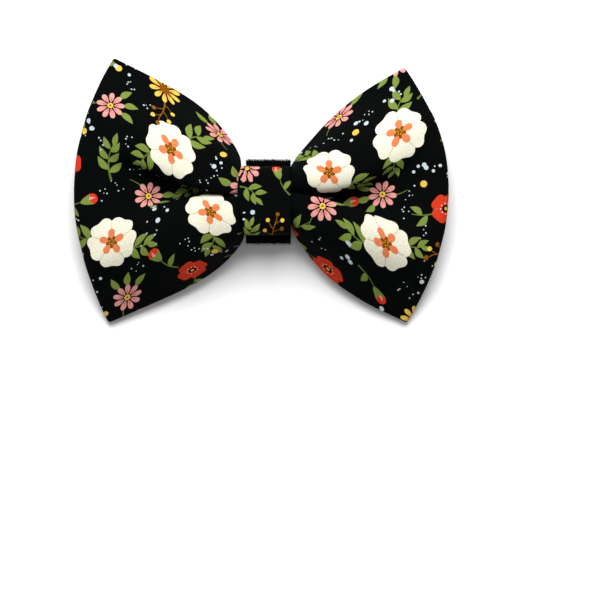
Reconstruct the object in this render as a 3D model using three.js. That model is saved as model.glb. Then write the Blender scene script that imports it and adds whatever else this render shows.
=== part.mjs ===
// A slide-on pet bow tie: a pinched loop of crisp cotton, a knot band round its middle, and a
// hook-and-loop strap behind the knot that goes round a collar. Millimetres, lying on its back:
// +X along the bow, +Y up the bow's height, +Z out of its front.
import * as THREE from "three";

// Clearance between pieces that touch on the real bow
const GAP = 0.3;

// The bow's cloth, as it lies pinched
const LEFT_REACH = 67.7; // from the knot's middle to the left wing's outer fold
const RIGHT_REACH = 65.6;
const BOW_HEIGHT = 94; // from the lower corners to the upper ones
const CLOTH_WALL = 1.0; // two plies of cotton with a stiffener between them
const FOLD_DEPTH = 4.6; // front to back over a wing's outer fold, at mid height
const CORNER_DEPTH = 1.9; // the same at the wing's corners
const CORNER_LIFT = 0.3; // the corners' height over the surface that the bow lies on

// The knot band
const KNOT_WIDTH = 18.2;
const KNOT_HEIGHT = 24.2;
const KNOT_WALL = 1.5;
const KNOT_ROUND = 4.6; // radius of the band's turns at the front
const KNOT_BACK_ROUND = 2; // and at the back
const KNOT_SLANT = 2.7; // how far the band's left side comes in from its middle to its lower end
const LEFT_CORNER = 1.8; // how far the band's upper left corner is turned in
const RIGHT_CORNER = 0.4; // the same for both corners on its right
const KNOT_DROP = 4.1; // the knot's middle below the bow's
const PINCH_DEPTH = 10.4; // front to back inside the band
const FOOT_TUCK = 3.2; // how much higher the right wing's lower edge enters the knot than the left one's

// The hook-and-loop strap and the slot that it leaves for a collar
const STRAP_WIDTH = 16;
const STRAP_HEIGHT = 29.8;
const STRAP_PLY = 1.2;
const STRAP_SHIFT = 1.4; // the strap's middle to the right of the knot's
const STRAP_DROP = 0.2; // the strap's middle below the knot's
const COLLAR_GAP = 5;
const LAP_LENGTH = 19; // how far the strap's ends lap behind the collar
const PATCH_PLY = 1.0;
const PATCH_LENGTH = 17;
const PATCH_WIDTH = 15;

// Steps of the meshes
const RIBS_PER_WING = 14;
const RIBS_IN_KNOT = 4;
const STEPS_ROUND_FOLD = 6;
const STEPS_PER_KEY = 3;
const STEPS_ROUND_TURN = 8;

// Levels of the layers, from the surface up
const PATCH_BOTTOM = STRAP_PLY + GAP;
const INNER_PLY_BOTTOM = PATCH_BOTTOM + PATCH_PLY + GAP;
const FRONT_RUN_BOTTOM = INNER_PLY_BOTTOM + STRAP_PLY + COLLAR_GAP;
const KNOT_BOTTOM = FRONT_RUN_BOTTOM + STRAP_PLY + GAP;
const CAVITY_BOTTOM = KNOT_BOTTOM + KNOT_WALL;
const SEAT = CAVITY_BOTTOM + GAP + CLOTH_WALL / 2; // middle of the back wall in the knot
const CREST = CAVITY_BOTTOM + PINCH_DEPTH - GAP - CLOTH_WALL / 2; // the ridges in the knot
const FLOOR = CORNER_LIFT + CLOTH_WALL / 2; // middle of the back wall at the corners
const LAYERS = CLOTH_WALL + GAP; // the front wall over the back one where they lie together
const ROOM = CREST - SEAT - LAYERS; // the height of a ridge in the knot

// Half the height that the knot holds the cloth to, at the middle of its wall
const KNOT_HOLD = KNOT_HEIGHT / 2 - KNOT_WALL - GAP - CLOTH_WALL / 2;
const WING_START = KNOT_WIDTH / 2 + GAP; // where a wing starts, clear of the band's edge

// A wing's outline: a row for each station from the knot to the outer fold, and "way" is its share of
// the way along the cloth. The "out" columns are shares of the way out from the knot's edge to the
// fold. "topUp" and "footDown" are the edges' heights, as shares of half the bow's height.
const LEFT_OUTLINE = [
  { way: 0.08, topOut: -0.004, topUp: 0.253, footOut: -0.014, footDown: 0.402 },
  { way: 0.25, topOut: 0.1, topUp: 0.451, footOut: 0.108, footDown: 0.562 },
  { way: 0.45, topOut: 0.261, topUp: 0.643, footOut: 0.286, footDown: 0.706 },
  { way: 0.7, topOut: 0.5, topUp: 0.819, footOut: 0.536, footDown: 0.845 },
  { way: 1, topOut: 0.783, topUp: 0.99, footOut: 0.815, footDown: 0.99 },
];
const RIGHT_OUTLINE = [
  { way: 0.08, topOut: 0.025, topUp: 0.209, footOut: 0.035, footDown: 0.34 },
  { way: 0.25, topOut: 0.148, topUp: 0.383, footOut: 0.14, footDown: 0.51 },
  { way: 0.45, topOut: 0.29, topUp: 0.557, footOut: 0.286, footDown: 0.681 },
  { way: 0.7, topOut: 0.494, topUp: 0.745, footOut: 0.503, footDown: 0.847 },
  { way: 1, topOut: 0.742, topUp: 0.917, footOut: 0.757, footDown: 0.99 },
];

// Where a wing's valley lies at its stations. "bottom" and "mouth" are the places of its bottom and of
// its opening at the front, from -1 at the foot edge to 1 at the top edge: where they differ, the
// valley is slanted and one ridge hangs over it. "width" is its opening, and "flank" how broad the
// slope from a ridge to its edge is, both as shares of half the bow's height.
const LEFT_FOLDS = [
  { way: 0, bottom: 0.62, mouth: 0.17, width: 0.055, flank: 0.03 },
  { way: 0.08, bottom: 0.33, mouth: 0.06, width: 0.065, flank: 0.06 },
  { way: 0.25, bottom: 0.14, mouth: 0.03, width: 0.11, flank: 0.12 },
  { way: 0.45, bottom: 0.05, mouth: 0.02, width: 0.24, flank: 0.17 },
  { way: 0.7, bottom: 0.015, mouth: 0.015, width: 0.5, flank: 0.24 },
  { way: 1, bottom: 0, mouth: 0, width: 0.85, flank: 0.3 },
];
const RIGHT_FOLDS = [
  { way: 0, bottom: -0.256, mouth: 0.256, width: 0.055, flank: 0.03 },
  { way: 0.08, bottom: -0.15, mouth: 0.17, width: 0.065, flank: 0.06 },
  { way: 0.25, bottom: -0.1, mouth: 0.05, width: 0.11, flank: 0.12 },
  { way: 0.45, bottom: -0.04, mouth: 0.015, width: 0.24, flank: 0.17 },
  { way: 0.7, bottom: 0.01, mouth: 0.01, width: 0.5, flank: 0.24 },
  { way: 1, bottom: 0.039, mouth: 0.039, width: 0.85, flank: 0.3 },
];

// A wing's levels at its stations. The "back" columns are the back wall's, from 0 at FLOOR to 1 at
// SEAT and on above it. The rises are the front wall's heights over the back wall, as shares of ROOM.
const LEVELS = [
  {
    way: 0, backValley: 1, backRidge: 1, backEdge: 1,
    valleyRise: 0, ridgeRise: 1, edgeRise: 0.05,
  },
  {
    way: 0.08, backValley: 0.95, backRidge: 1.06, backEdge: 0.78,
    valleyRise: 0.02, ridgeRise: 1.03, edgeRise: 0.1,
  },
  {
    way: 0.25, backValley: 0.85, backRidge: 1.17, backEdge: 0.3,
    valleyRise: 0.09, ridgeRise: 1.05, edgeRise: 0.25,
  },
  {
    way: 0.45, backValley: 0.77, backRidge: 1.17, backEdge: 0.1,
    valleyRise: 0.29, ridgeRise: 0.98, edgeRise: 0.31,
  },
  {
    way: 0.7, backValley: 0.725, backRidge: 0.94, backEdge: 0.04,
    valleyRise: 0.5, ridgeRise: 0.84, edgeRise: 0.21,
  },
  {
    way: 1,
    backValley: 0.74,
    backRidge: 0.66,
    backEdge: 0,
    valleyRise: (FOLD_DEPTH - LAYERS) / ROOM,
    ridgeRise: (0.7 * FOLD_DEPTH + 0.3 * CORNER_DEPTH - LAYERS) / ROOM,
    edgeRise: (CORNER_DEPTH - LAYERS) / ROOM,
  },
];
const BACK_INSET = 0.03; // how far the back wall's edges stay inside the front's, as a share
const BOTTOM_SHARE = 0.6; // a valley's bottom, as a share of its opening
const SHOULDER_DROP = 0.1; // a valley's brink under its ridge, as a share of the ridge's height
const FLANK_DROP = 0.28; // where a ridge turns into its flank, as a share of the flank's height
const RIDGE_PLACE = 0.5; // the ridge's top, from the valley's brink to the flank

// A column's value at a share of the way, on a smooth curve through the table's rows
function along(rows, column, way) {
  const last = rows.length - 2;
  const i = Math.min(last, Math.max(0, rows.findLastIndex((row) => row.way <= way)));
  const slope = (a, b) => (rows[b][column] - rows[a][column]) / (rows[b].way - rows[a].way);
  const step = rows[i + 1].way - rows[i].way;
  const share = (way - rows[i].way) / step;
  const start = slope(Math.max(0, i - 1), i + 1) * step;
  const end = slope(i, Math.min(rows.length - 1, i + 2)) * step;
  return (
    rows[i][column] * (1 + 2 * share) * (1 - share) ** 2 +
    start * share * (1 - share) ** 2 +
    rows[i + 1][column] * share ** 2 * (3 - 2 * share) -
    end * share ** 2 * (1 - share)
  );
}

// How far in a side of the knot band is at a height over its middle
function knotTaperAt(side, height) {
  const share = Math.abs(height) / (KNOT_HEIGHT / 2);
  if (side < 0 && height < 0) return KNOT_SLANT * share;
  return (side < 0 ? LEFT_CORNER : RIGHT_CORNER) * share ** 4;
}

// A wing: the side it is on, how far it reaches, its tables with the row at the knot added, and how
// far its lower edge is tucked up in the knot
function makeWing(side, reach, outline, folds, tuck) {
  const span = reach - FOLD_DEPTH / 2 - CLOTH_WALL / 2 - WING_START;
  const atKnot = {
    way: 0,
    topOut: -knotTaperAt(side, KNOT_HOLD) / span,
    topUp: (KNOT_HOLD - KNOT_DROP) / (BOW_HEIGHT / 2),
    footOut: -knotTaperAt(side, tuck - KNOT_HOLD) / span,
    footDown: (KNOT_HOLD - tuck + KNOT_DROP) / (BOW_HEIGHT / 2),
  };
  return { side, span, outline: [atKnot, ...outline], folds };
}

// The rib that the front or back wall follows across a wing, as a smooth curve in Y and Z
function ribCurve(wing, way, isFront) {
  const half = BOW_HEIGHT / 2;
  const inset = isFront ? 0 : BACK_INSET;
  const top = along(wing.outline, "topUp", way) * half;
  const foot = -along(wing.outline, "footDown", way) * half;
  const placeAt = (share) => (top + foot) / 2 + (1 - inset) * share * (top - foot) / 2;
  const level = (column) => FLOOR + along(LEVELS, column, way) * (SEAT - FLOOR);
  const rise = (column) => (isFront ? LAYERS + along(LEVELS, column, way) * ROOM : 0);
  const valley = level("backValley") + rise("valleyRise");
  const ridge = level("backRidge") + rise("ridgeRise");
  const edge = level("backEdge") + rise("edgeRise");
  const bottom = placeAt(along(wing.folds, "bottom", way));
  const mouth = placeAt(along(wing.folds, isFront ? "mouth" : "bottom", way));
  const width = along(wing.folds, "width", way) * half;
  const flank = along(wing.folds, "flank", way) * half;
  const sideKeys = (side) => {
    const brink = mouth + side * width / 2;
    const turn = placeAt(side) - side * flank;
    return [
      new THREE.Vector2(bottom + side * BOTTOM_SHARE * width / 2, valley),
      new THREE.Vector2(brink, ridge - SHOULDER_DROP * (ridge - valley)),
      new THREE.Vector2(brink + RIDGE_PLACE * (turn - brink), ridge),
      new THREE.Vector2(turn, ridge - FLANK_DROP * (ridge - edge)),
      new THREE.Vector2(placeAt(side), edge),
    ];
  };
  return [...sideKeys(-1).reverse(), ...sideKeys(1)];
}

// A row of points across the front or back wall's middle, at a share of a wing's way
function rowOf(wing, way, isFront) {
  const keys = ribCurve(wing, way, isFront);
  const middle = (keys[4].x + keys[5].x) / 2;
  const mid = way * wing.span;
  const topOut = along(wing.outline, "topOut", way) * wing.span;
  const footOut = along(wing.outline, "footOut", way) * wing.span;
  const curve = new THREE.CatmullRomCurve3(
    keys.map((key) => new THREE.Vector3(0, key.x, key.y)), false, "centripetal");
  return curve.getPoints(STEPS_PER_KEY * (keys.length - 1)).map((point) => {
    const end = point.y > middle ? keys.at(-1).x : keys[0].x;
    const edgeOut = point.y > middle ? topOut : footOut;
    const far = (point.y - middle) / (end - middle);
    point.x = wing.side * (WING_START + mid + (edgeOut - mid) * far ** 2);
    return point;
  });
}

// The rows inside the knot, which go evenly from one row to another
function rowsBetween(from, to, steps) {
  const rows = [];
  for (let k = 1; k < steps; k++) {
    rows.push(from.map((point, i) => point.clone().lerp(to[i], k / steps)));
  }
  return rows;
}

// The rows round a wing's outer fold: each point's curve leaves one wall and enters the other along
// the walls' slopes, and reaches as far out as a half circle would
function rowsRoundFold(before, from, to, after) {
  const rows = [];
  for (let k = 1; k < STEPS_ROUND_FOLD; k++) rows.push([]);
  from.forEach((start, i) => {
    const end = to[i];
    const handle = (2 / 3) * start.distanceTo(end);
    const ahead = (from, to) => {
      const slope = to.clone().sub(from);
      return slope.multiplyScalar(handle / Math.abs(slope.x)).add(to);
    };
    const leave = ahead(before[i], start);
    const enter = ahead(after[i], end);
    const curve = new THREE.CubicBezierCurve3(start, leave, enter, end);
    rows.forEach((row, k) => row.push(curve.getPoint((k + 1) / STEPS_ROUND_FOLD)));
  });
  return rows;
}

// A closed solid wall round a ring of rows, with its middle on them
function wallRound(rows, thickness) {
  const across = rows[0].length;
  const count = rows.length * across;
  const outer = [];
  const inner = [];
  rows.forEach((row, r) => {
    const next = rows[(r + 1) % rows.length];
    const previous = rows[(r + rows.length - 1) % rows.length];
    row.forEach((point, i) => {
      const onward = next[i].clone().sub(previous[i]);
      const sideways = row[Math.min(i + 1, across - 1)].clone().sub(row[Math.max(i - 1, 0)]);
      const normal = onward.cross(sideways).setLength(thickness / 2);
      outer.push(...point.clone().add(normal).toArray());
      inner.push(...point.clone().sub(normal).toArray());
    });
  });
  const faces = [];
  const quad = (a, b, c, d) => faces.push(a, b, c, a, c, d);
  rows.forEach((row, r) => {
    const here = r * across;
    const next = ((r + 1) % rows.length) * across;
    for (let i = 0; i < across - 1; i++) {
      quad(here + i, next + i, next + i + 1, here + i + 1);
      quad(count + here + i, count + here + i + 1, count + next + i + 1, count + next + i);
    }
    const end = across - 1;
    quad(here, count + here, count + next, next);
    quad(here + end, next + end, count + next + end, count + here + end);
  });
  const geometry = new THREE.BufferGeometry();
  geometry.setAttribute("position", new THREE.Float32BufferAttribute([...outer, ...inner], 3));
  geometry.setIndex(faces);
  geometry.computeVertexNormals();
  return geometry;
}

// The bow's cloth: from the left fold over the front to the right fold, and along the back again
function bowClothGeometry() {
  const left = makeWing(-1, LEFT_REACH, LEFT_OUTLINE, LEFT_FOLDS, 0);
  const right = makeWing(1, RIGHT_REACH, RIGHT_OUTLINE, RIGHT_FOLDS, FOOT_TUCK);
  const outward = (wing, isFront) => {
    const rows = [];
    for (let k = 0; k <= RIBS_PER_WING; k++) {
      rows.push(rowOf(wing, (k / RIBS_PER_WING) ** 1.15, isFront));
    }
    return rows;
  };
  const leftFront = outward(left, true).reverse();
  const rightFront = outward(right, true);
  const rightBack = outward(right, false).reverse();
  const leftBack = outward(left, false);
  const rows = [
    ...leftFront,
    ...rowsBetween(leftFront.at(-1), rightFront[0], RIBS_IN_KNOT),
    ...rightFront,
    ...rowsRoundFold(rightFront.at(-2), rightFront.at(-1), rightBack[0], rightBack[1]),
    ...rightBack,
    ...rowsBetween(rightBack.at(-1), leftBack[0], RIBS_IN_KNOT),
    ...leftBack,
    ...rowsRoundFold(leftBack.at(-2), leftBack.at(-1), leftFront[0], leftFront[1]),
  ];
  return wallRound(rows, CLOTH_WALL);
}

// A rectangle with its own corner radii at the bottom and the top, as a path in Y and Z that starts at
// the middle of its bottom
function roundedPath(path, width, bottom, top, bottomRound, topRound) {
  const half = width / 2;
  const quarter = Math.PI / 2;
  path.moveTo(0, bottom);
  path.lineTo(half - bottomRound, bottom);
  path.absarc(half - bottomRound, bottom + bottomRound, bottomRound, -quarter, 0);
  path.lineTo(half, top - topRound);
  path.absarc(half - topRound, top - topRound, topRound, 0, quarter);
  path.lineTo(0, top);
  path.lineTo(-half + topRound, top);
  path.absarc(-half + topRound, top - topRound, topRound, quarter, 2 * quarter);
  path.lineTo(-half, bottom + bottomRound);
  path.absarc(-half + bottomRound, bottom + bottomRound, bottomRound, 2 * quarter, 3 * quarter);
  return path;
}

// Extrudes an outline drawn in Y and Z along X, centred on X = 0
function extrudeAlongX(shape, width) {
  const options = { depth: width, bevelEnabled: false, curveSegments: STEPS_ROUND_TURN };
  const geometry = new THREE.ExtrudeGeometry(shape, options);
  geometry.translate(0, 0, -width / 2);
  geometry.rotateX(Math.PI / 2);
  geometry.rotateZ(Math.PI / 2);
  return geometry;
}

// The knot band: a sleeve round the pinched cloth, with its corners turned in
function knotBandGeometry() {
  const top = CAVITY_BOTTOM + PINCH_DEPTH;
  const sleeve = new THREE.Shape();
  roundedPath(sleeve, KNOT_HEIGHT, KNOT_BOTTOM, top + KNOT_WALL, KNOT_BACK_ROUND, KNOT_ROUND);
  const cavity = roundedPath(new THREE.Path(), KNOT_HEIGHT - 2 * KNOT_WALL, CAVITY_BOTTOM, top,
    KNOT_BACK_ROUND - KNOT_WALL, KNOT_ROUND - KNOT_WALL);
  sleeve.holes.push(cavity);
  const geometry = extrudeAlongX(sleeve, KNOT_WIDTH);
  const place = geometry.attributes.position;
  for (let i = 0; i < place.count; i++) {
    const side = Math.sign(place.getX(i));
    place.setX(i, place.getX(i) - side * knotTaperAt(side, place.getY(i)));
  }
  geometry.computeVertexNormals();
  return geometry;
}

// The strap: its inner ply, the turn over the collar's upper edge, the run behind the knot, the turn
// round the lower edge and the outer ply, as one strip along a line of straight runs and half circles
function closureStrapGeometry() {
  const half = STRAP_PLY / 2;
  const inner = INNER_PLY_BOTTOM + half;
  const front = FRONT_RUN_BOTTOM + half;
  const upperTurn = (front - inner) / 2;
  const lowerTurn = (front - half) / 2;
  const upper = STRAP_HEIGHT / 2 - half - upperTurn;
  const lower = -STRAP_HEIGHT / 2 + half + lowerTurn;
  const line = [new THREE.Vector2(-LAP_LENGTH / 2, inner)];
  const turn = (middle, level, radius, from) => {
    for (let k = 0; k <= STEPS_ROUND_TURN; k++) {
      const angle = from + Math.PI * k / STEPS_ROUND_TURN;
      line.push(new THREE.Vector2(middle + radius * Math.cos(angle), level + radius * Math.sin(angle)));
    }
  };
  turn(upper, (inner + front) / 2, upperTurn, -Math.PI / 2);
  turn(lower, (half + front) / 2, lowerTurn, Math.PI / 2);
  line.push(new THREE.Vector2(LAP_LENGTH / 2, half));
  const sideAt = (offset) => line.map((point, i) => {
    const before = line[Math.max(i - 1, 0)];
    const after = line[Math.min(i + 1, line.length - 1)];
    const ahead = after.clone().sub(before).normalize();
    return new THREE.Vector2(point.x - ahead.y * offset, point.y + ahead.x * offset);
  });
  const outline = [...sideAt(-half), ...sideAt(half).reverse()];
  return extrudeAlongX(new THREE.Shape(outline), STRAP_WIDTH);
}

// A named piece with its material, at its place
function piece(name, geometry, colour, roughness, x, y, z) {
  const material = new THREE.MeshStandardMaterial({ color: colour, roughness, metalness: 0 });
  const mesh = new THREE.Mesh(geometry, material);
  mesh.name = name;
  mesh.position.set(x, y, z);
  return mesh;
}

const strapY = -KNOT_DROP - STRAP_DROP;
const patchZ = PATCH_BOTTOM + PATCH_PLY / 2;
const bow = new THREE.Group();
bow.add(piece("bow_cloth", bowClothGeometry(), 0x17171c, 0.85, 0, 0, 0));
bow.add(piece("knot_band", knotBandGeometry(), 0x17171c, 0.85, 0, -KNOT_DROP, 0));
bow.add(piece("closure_strap", closureStrapGeometry(), 0x0a0a0b, 0.95, STRAP_SHIFT, strapY, 0));
const patch = new THREE.BoxGeometry(PATCH_WIDTH, PATCH_LENGTH, PATCH_PLY);
bow.add(piece("hook_patch", patch, 0x121213, 0.7, STRAP_SHIFT, strapY, patchZ));

// The origin goes to the middle of the bow's underside
const box = new THREE.Box3().setFromObject(bow);
const middle = box.getCenter(new THREE.Vector3());
bow.position.set(-middle.x, -middle.y, -box.min.z);

export default bow;
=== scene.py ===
# %% [markdown]
# # A slide-on pet bow tie
#
# The real bow tie is a strip of doubled, crisp printed cotton, folded into a flat loop and pinched in
# its middle by a knot band. Behind the knot, a black hook-and-loop strap goes round a pet's collar.
# A finished CAD model gives every piece its place. This file dresses that model: it loads it as a
# frame that never moves, and builds each piece again with cloth detail, over the same lines.

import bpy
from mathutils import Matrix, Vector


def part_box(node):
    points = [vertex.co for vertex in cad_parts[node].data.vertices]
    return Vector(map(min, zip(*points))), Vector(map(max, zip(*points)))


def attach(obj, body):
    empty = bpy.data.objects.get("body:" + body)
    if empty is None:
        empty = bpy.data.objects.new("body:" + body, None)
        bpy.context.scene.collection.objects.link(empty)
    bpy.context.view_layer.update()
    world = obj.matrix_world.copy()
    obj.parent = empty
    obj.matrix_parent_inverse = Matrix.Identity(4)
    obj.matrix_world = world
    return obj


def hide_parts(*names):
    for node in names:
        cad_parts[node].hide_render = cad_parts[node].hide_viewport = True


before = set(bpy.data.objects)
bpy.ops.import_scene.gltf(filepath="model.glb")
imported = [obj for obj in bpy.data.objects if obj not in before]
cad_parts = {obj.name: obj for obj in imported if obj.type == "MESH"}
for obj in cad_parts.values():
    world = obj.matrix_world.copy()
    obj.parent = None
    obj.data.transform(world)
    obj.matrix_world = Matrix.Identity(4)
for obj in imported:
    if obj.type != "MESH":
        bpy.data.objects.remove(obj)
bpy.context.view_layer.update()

# %% Import the helpers
import math
import random

import bpy
import numpy as np
from mathutils import Vector, noise
from mathutils.bvhtree import BVHTree
from mathutils.geometry import delaunay_2d_cdt

# %% [markdown]
# ## Sizes
#
# Blender works in metres, and a tailor thinks in millimetres. So the shapes are worked out in
# millimetres round the knot's middle, and one helper moves them into the frame. These sizes repeat
# the CAD model's, because a piece that is built anew has to lie exactly where its solid lies.

# %% Sizes of the cloth, the knot band and the strap, in millimetres
GAP = 0.3
REACH = {-1: 67.7, 1: 65.6}
BOW_HEIGHT = 94
CLOTH_WALL = 1.0
FOLD_DEPTH = 4.6
CORNER_DEPTH = 1.9
CORNER_LIFT = 0.3
KNOT_WIDTH, KNOT_HEIGHT, KNOT_WALL = 18.2, 24.2, 1.5
KNOT_ROUND, KNOT_BACK_ROUND = 4.6, 2
KNOT_SLANT, LEFT_CORNER, RIGHT_CORNER = 2.7, 1.8, 0.4
KNOT_DROP, PINCH_DEPTH = 4.1, 10.4
FOOT_TUCK = {-1: 0, 1: 3.2}
STRAP_WIDTH, STRAP_HEIGHT, STRAP_PLY = 16, 29.8, 1.2
STRAP_SHIFT, STRAP_DROP = 1.4, 0.2
COLLAR_GAP, LAP_LENGTH, PATCH_PLY = 5, 19, 1.0

# %% Levels of the layers, from the surface up
PATCH_BOTTOM = STRAP_PLY + GAP
INNER_PLY_BOTTOM = PATCH_BOTTOM + PATCH_PLY + GAP
FRONT_RUN_BOTTOM = INNER_PLY_BOTTOM + STRAP_PLY + COLLAR_GAP
KNOT_BOTTOM = FRONT_RUN_BOTTOM + STRAP_PLY + GAP
CAVITY_BOTTOM = KNOT_BOTTOM + KNOT_WALL
SEAT = CAVITY_BOTTOM + GAP + CLOTH_WALL / 2
CREST = CAVITY_BOTTOM + PINCH_DEPTH - GAP - CLOTH_WALL / 2
FLOOR = CORNER_LIFT + CLOTH_WALL / 2
LAYERS = CLOTH_WALL + GAP
ROOM = CREST - SEAT - LAYERS
KNOT_HOLD = KNOT_HEIGHT / 2 - KNOT_WALL - GAP - CLOTH_WALL / 2
WING_START = KNOT_WIDTH / 2 + GAP

# %% Where the knot's middle stands in the frame
band_low, band_high = (1000 * np.array(corner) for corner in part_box("knot_band"))
KNOT_PLACE = np.array([
    (band_low[0] + band_high[0]) / 2,
    (band_low[1] + band_high[1]) / 2 + KNOT_DROP,
    band_low[2] - KNOT_BOTTOM,
])
print("The knot's middle is at", KNOT_PLACE.round(2), "mm")


def in_frame(points):
    """Points in millimetres round the knot's middle, as metres in the frame."""
    return (np.asarray(points, float) + KNOT_PLACE) / 1000


# %% [markdown]
# ## The bow's outline and folds
#
# Crisp cotton that is pinched in the middle falls into folds that fan out from the knot. A cloth
# simulation could find such folds, but not these ones. So the folds are drawn as ribs: curves across a
# wing, at a few stations between the knot and the outer fold. Smooth curves through the stations give
# all the ribs between them. The tables hold shares, so that the folds follow the sizes above.

# %% The tables of the ribs
OUTLINE_COLUMNS = ("way", "top_out", "top_up", "foot_out", "foot_down")
OUTLINES = {
    -1: [(0.08, -0.004, 0.253, -0.014, 0.402), (0.25, 0.1, 0.451, 0.108, 0.562),
         (0.45, 0.261, 0.643, 0.286, 0.706), (0.7, 0.5, 0.819, 0.536, 0.845),
         (1, 0.783, 0.99, 0.815, 0.99)],
    1: [(0.08, 0.025, 0.209, 0.035, 0.34), (0.25, 0.148, 0.383, 0.14, 0.51),
        (0.45, 0.29, 0.557, 0.286, 0.681), (0.7, 0.494, 0.745, 0.503, 0.847),
        (1, 0.742, 0.917, 0.757, 0.99)],
}
FOLD_COLUMNS = ("way", "bottom", "mouth", "width", "flank")
FOLDS = {
    -1: [(0, 0.62, 0.17, 0.055, 0.03), (0.08, 0.33, 0.06, 0.065, 0.06),
         (0.25, 0.14, 0.03, 0.11, 0.12), (0.45, 0.05, 0.02, 0.24, 0.17),
         (0.7, 0.015, 0.015, 0.5, 0.24), (1, 0, 0, 0.85, 0.3)],
    1: [(0, -0.256, 0.256, 0.055, 0.03), (0.08, -0.15, 0.17, 0.065, 0.06),
        (0.25, -0.1, 0.05, 0.11, 0.12), (0.45, -0.04, 0.015, 0.24, 0.17),
        (0.7, 0.01, 0.01, 0.5, 0.24), (1, 0.039, 0.039, 0.85, 0.3)],
}
LEVEL_COLUMNS = ("way", "back_valley", "back_ridge", "back_edge",
                 "valley_rise", "ridge_rise", "edge_rise")
LEVELS = [
    (0, 1, 1, 1, 0, 1, 0.05), (0.08, 0.95, 1.06, 0.78, 0.02, 1.03, 0.1),
    (0.25, 0.85, 1.17, 0.3, 0.09, 1.05, 0.25), (0.45, 0.77, 1.17, 0.1, 0.29, 0.98, 0.31),
    (0.7, 0.725, 0.94, 0.04, 0.5, 0.84, 0.21),
    (1, 0.74, 0.66, 0, (FOLD_DEPTH - LAYERS) / ROOM,
     (0.7 * FOLD_DEPTH + 0.3 * CORNER_DEPTH - LAYERS) / ROOM, (CORNER_DEPTH - LAYERS) / ROOM),
]
BACK_INSET, BOTTOM_SHARE, SHOULDER_DROP, FLANK_DROP, RIDGE_PLACE = 0.03, 0.6, 0.1, 0.28, 0.5


# %% Read a table on a smooth curve through its rows
def reader(columns, rows):
    """A function that gives a column's value at any share of the way."""
    table = dict(zip(columns, np.array(rows, float).T))
    ways = table["way"]

    def read(column, way):
        values = table[column]
        i = int(np.clip(np.searchsorted(ways, way, side="right") - 1, 0, len(ways) - 2))
        step = ways[i + 1] - ways[i]
        s = (way - ways[i]) / step
        a, b = max(0, i - 1), min(len(ways) - 1, i + 2)
        start = (values[i + 1] - values[a]) / (ways[i + 1] - ways[a]) * step
        end = (values[b] - values[i]) / (ways[b] - ways[i]) * step
        return (values[i] * (1 + 2 * s) * (1 - s) ** 2 + start * s * (1 - s) ** 2
                + values[i + 1] * s ** 2 * (3 - 2 * s) - end * s ** 2 * (1 - s))

    return read


def knot_taper(side, height):
    """How far in a side of the knot band is at a height over its middle."""
    share = abs(height) / (KNOT_HEIGHT / 2)
    if side < 0 and height < 0:
        return KNOT_SLANT * share
    return (LEFT_CORNER if side < 0 else RIGHT_CORNER) * share ** 4


# %% Draw one rib across a wing
STEPS_PER_KEY = (22, 10, 8, 12, 14, 12, 8, 10, 22)


def smooth_line(keys):
    """Points along a centripetal curve through the keys."""
    keys = np.array(keys, float)
    padded = np.vstack([2 * keys[0] - keys[1], keys, 2 * keys[-1] - keys[-2]])
    points = []
    for i, steps in enumerate(STEPS_PER_KEY):
        p0, p1, p2, p3 = padded[i:i + 4]
        spans = ((p0, p1), (p1, p2), (p2, p3))
        d0, d1, d2 = (max(np.sum((b - a) ** 2) ** 0.25, 1e-4) for a, b in spans)
        t1 = ((p1 - p0) / d0 - (p2 - p0) / (d0 + d1) + (p2 - p1) / d1) * d1
        t2 = ((p2 - p1) / d1 - (p3 - p1) / (d1 + d2) + (p3 - p2) / d2) * d1
        s = (np.arange(steps) / steps)[:, None]
        points.append(p1 + t1 * s + (3 * (p2 - p1) - 2 * t1 - t2) * s ** 2
                      + (2 * (p1 - p2) + t1 + t2) * s ** 3)
    return np.vstack([*points, keys[-1:]])


levels = reader(LEVEL_COLUMNS, LEVELS)


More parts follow.
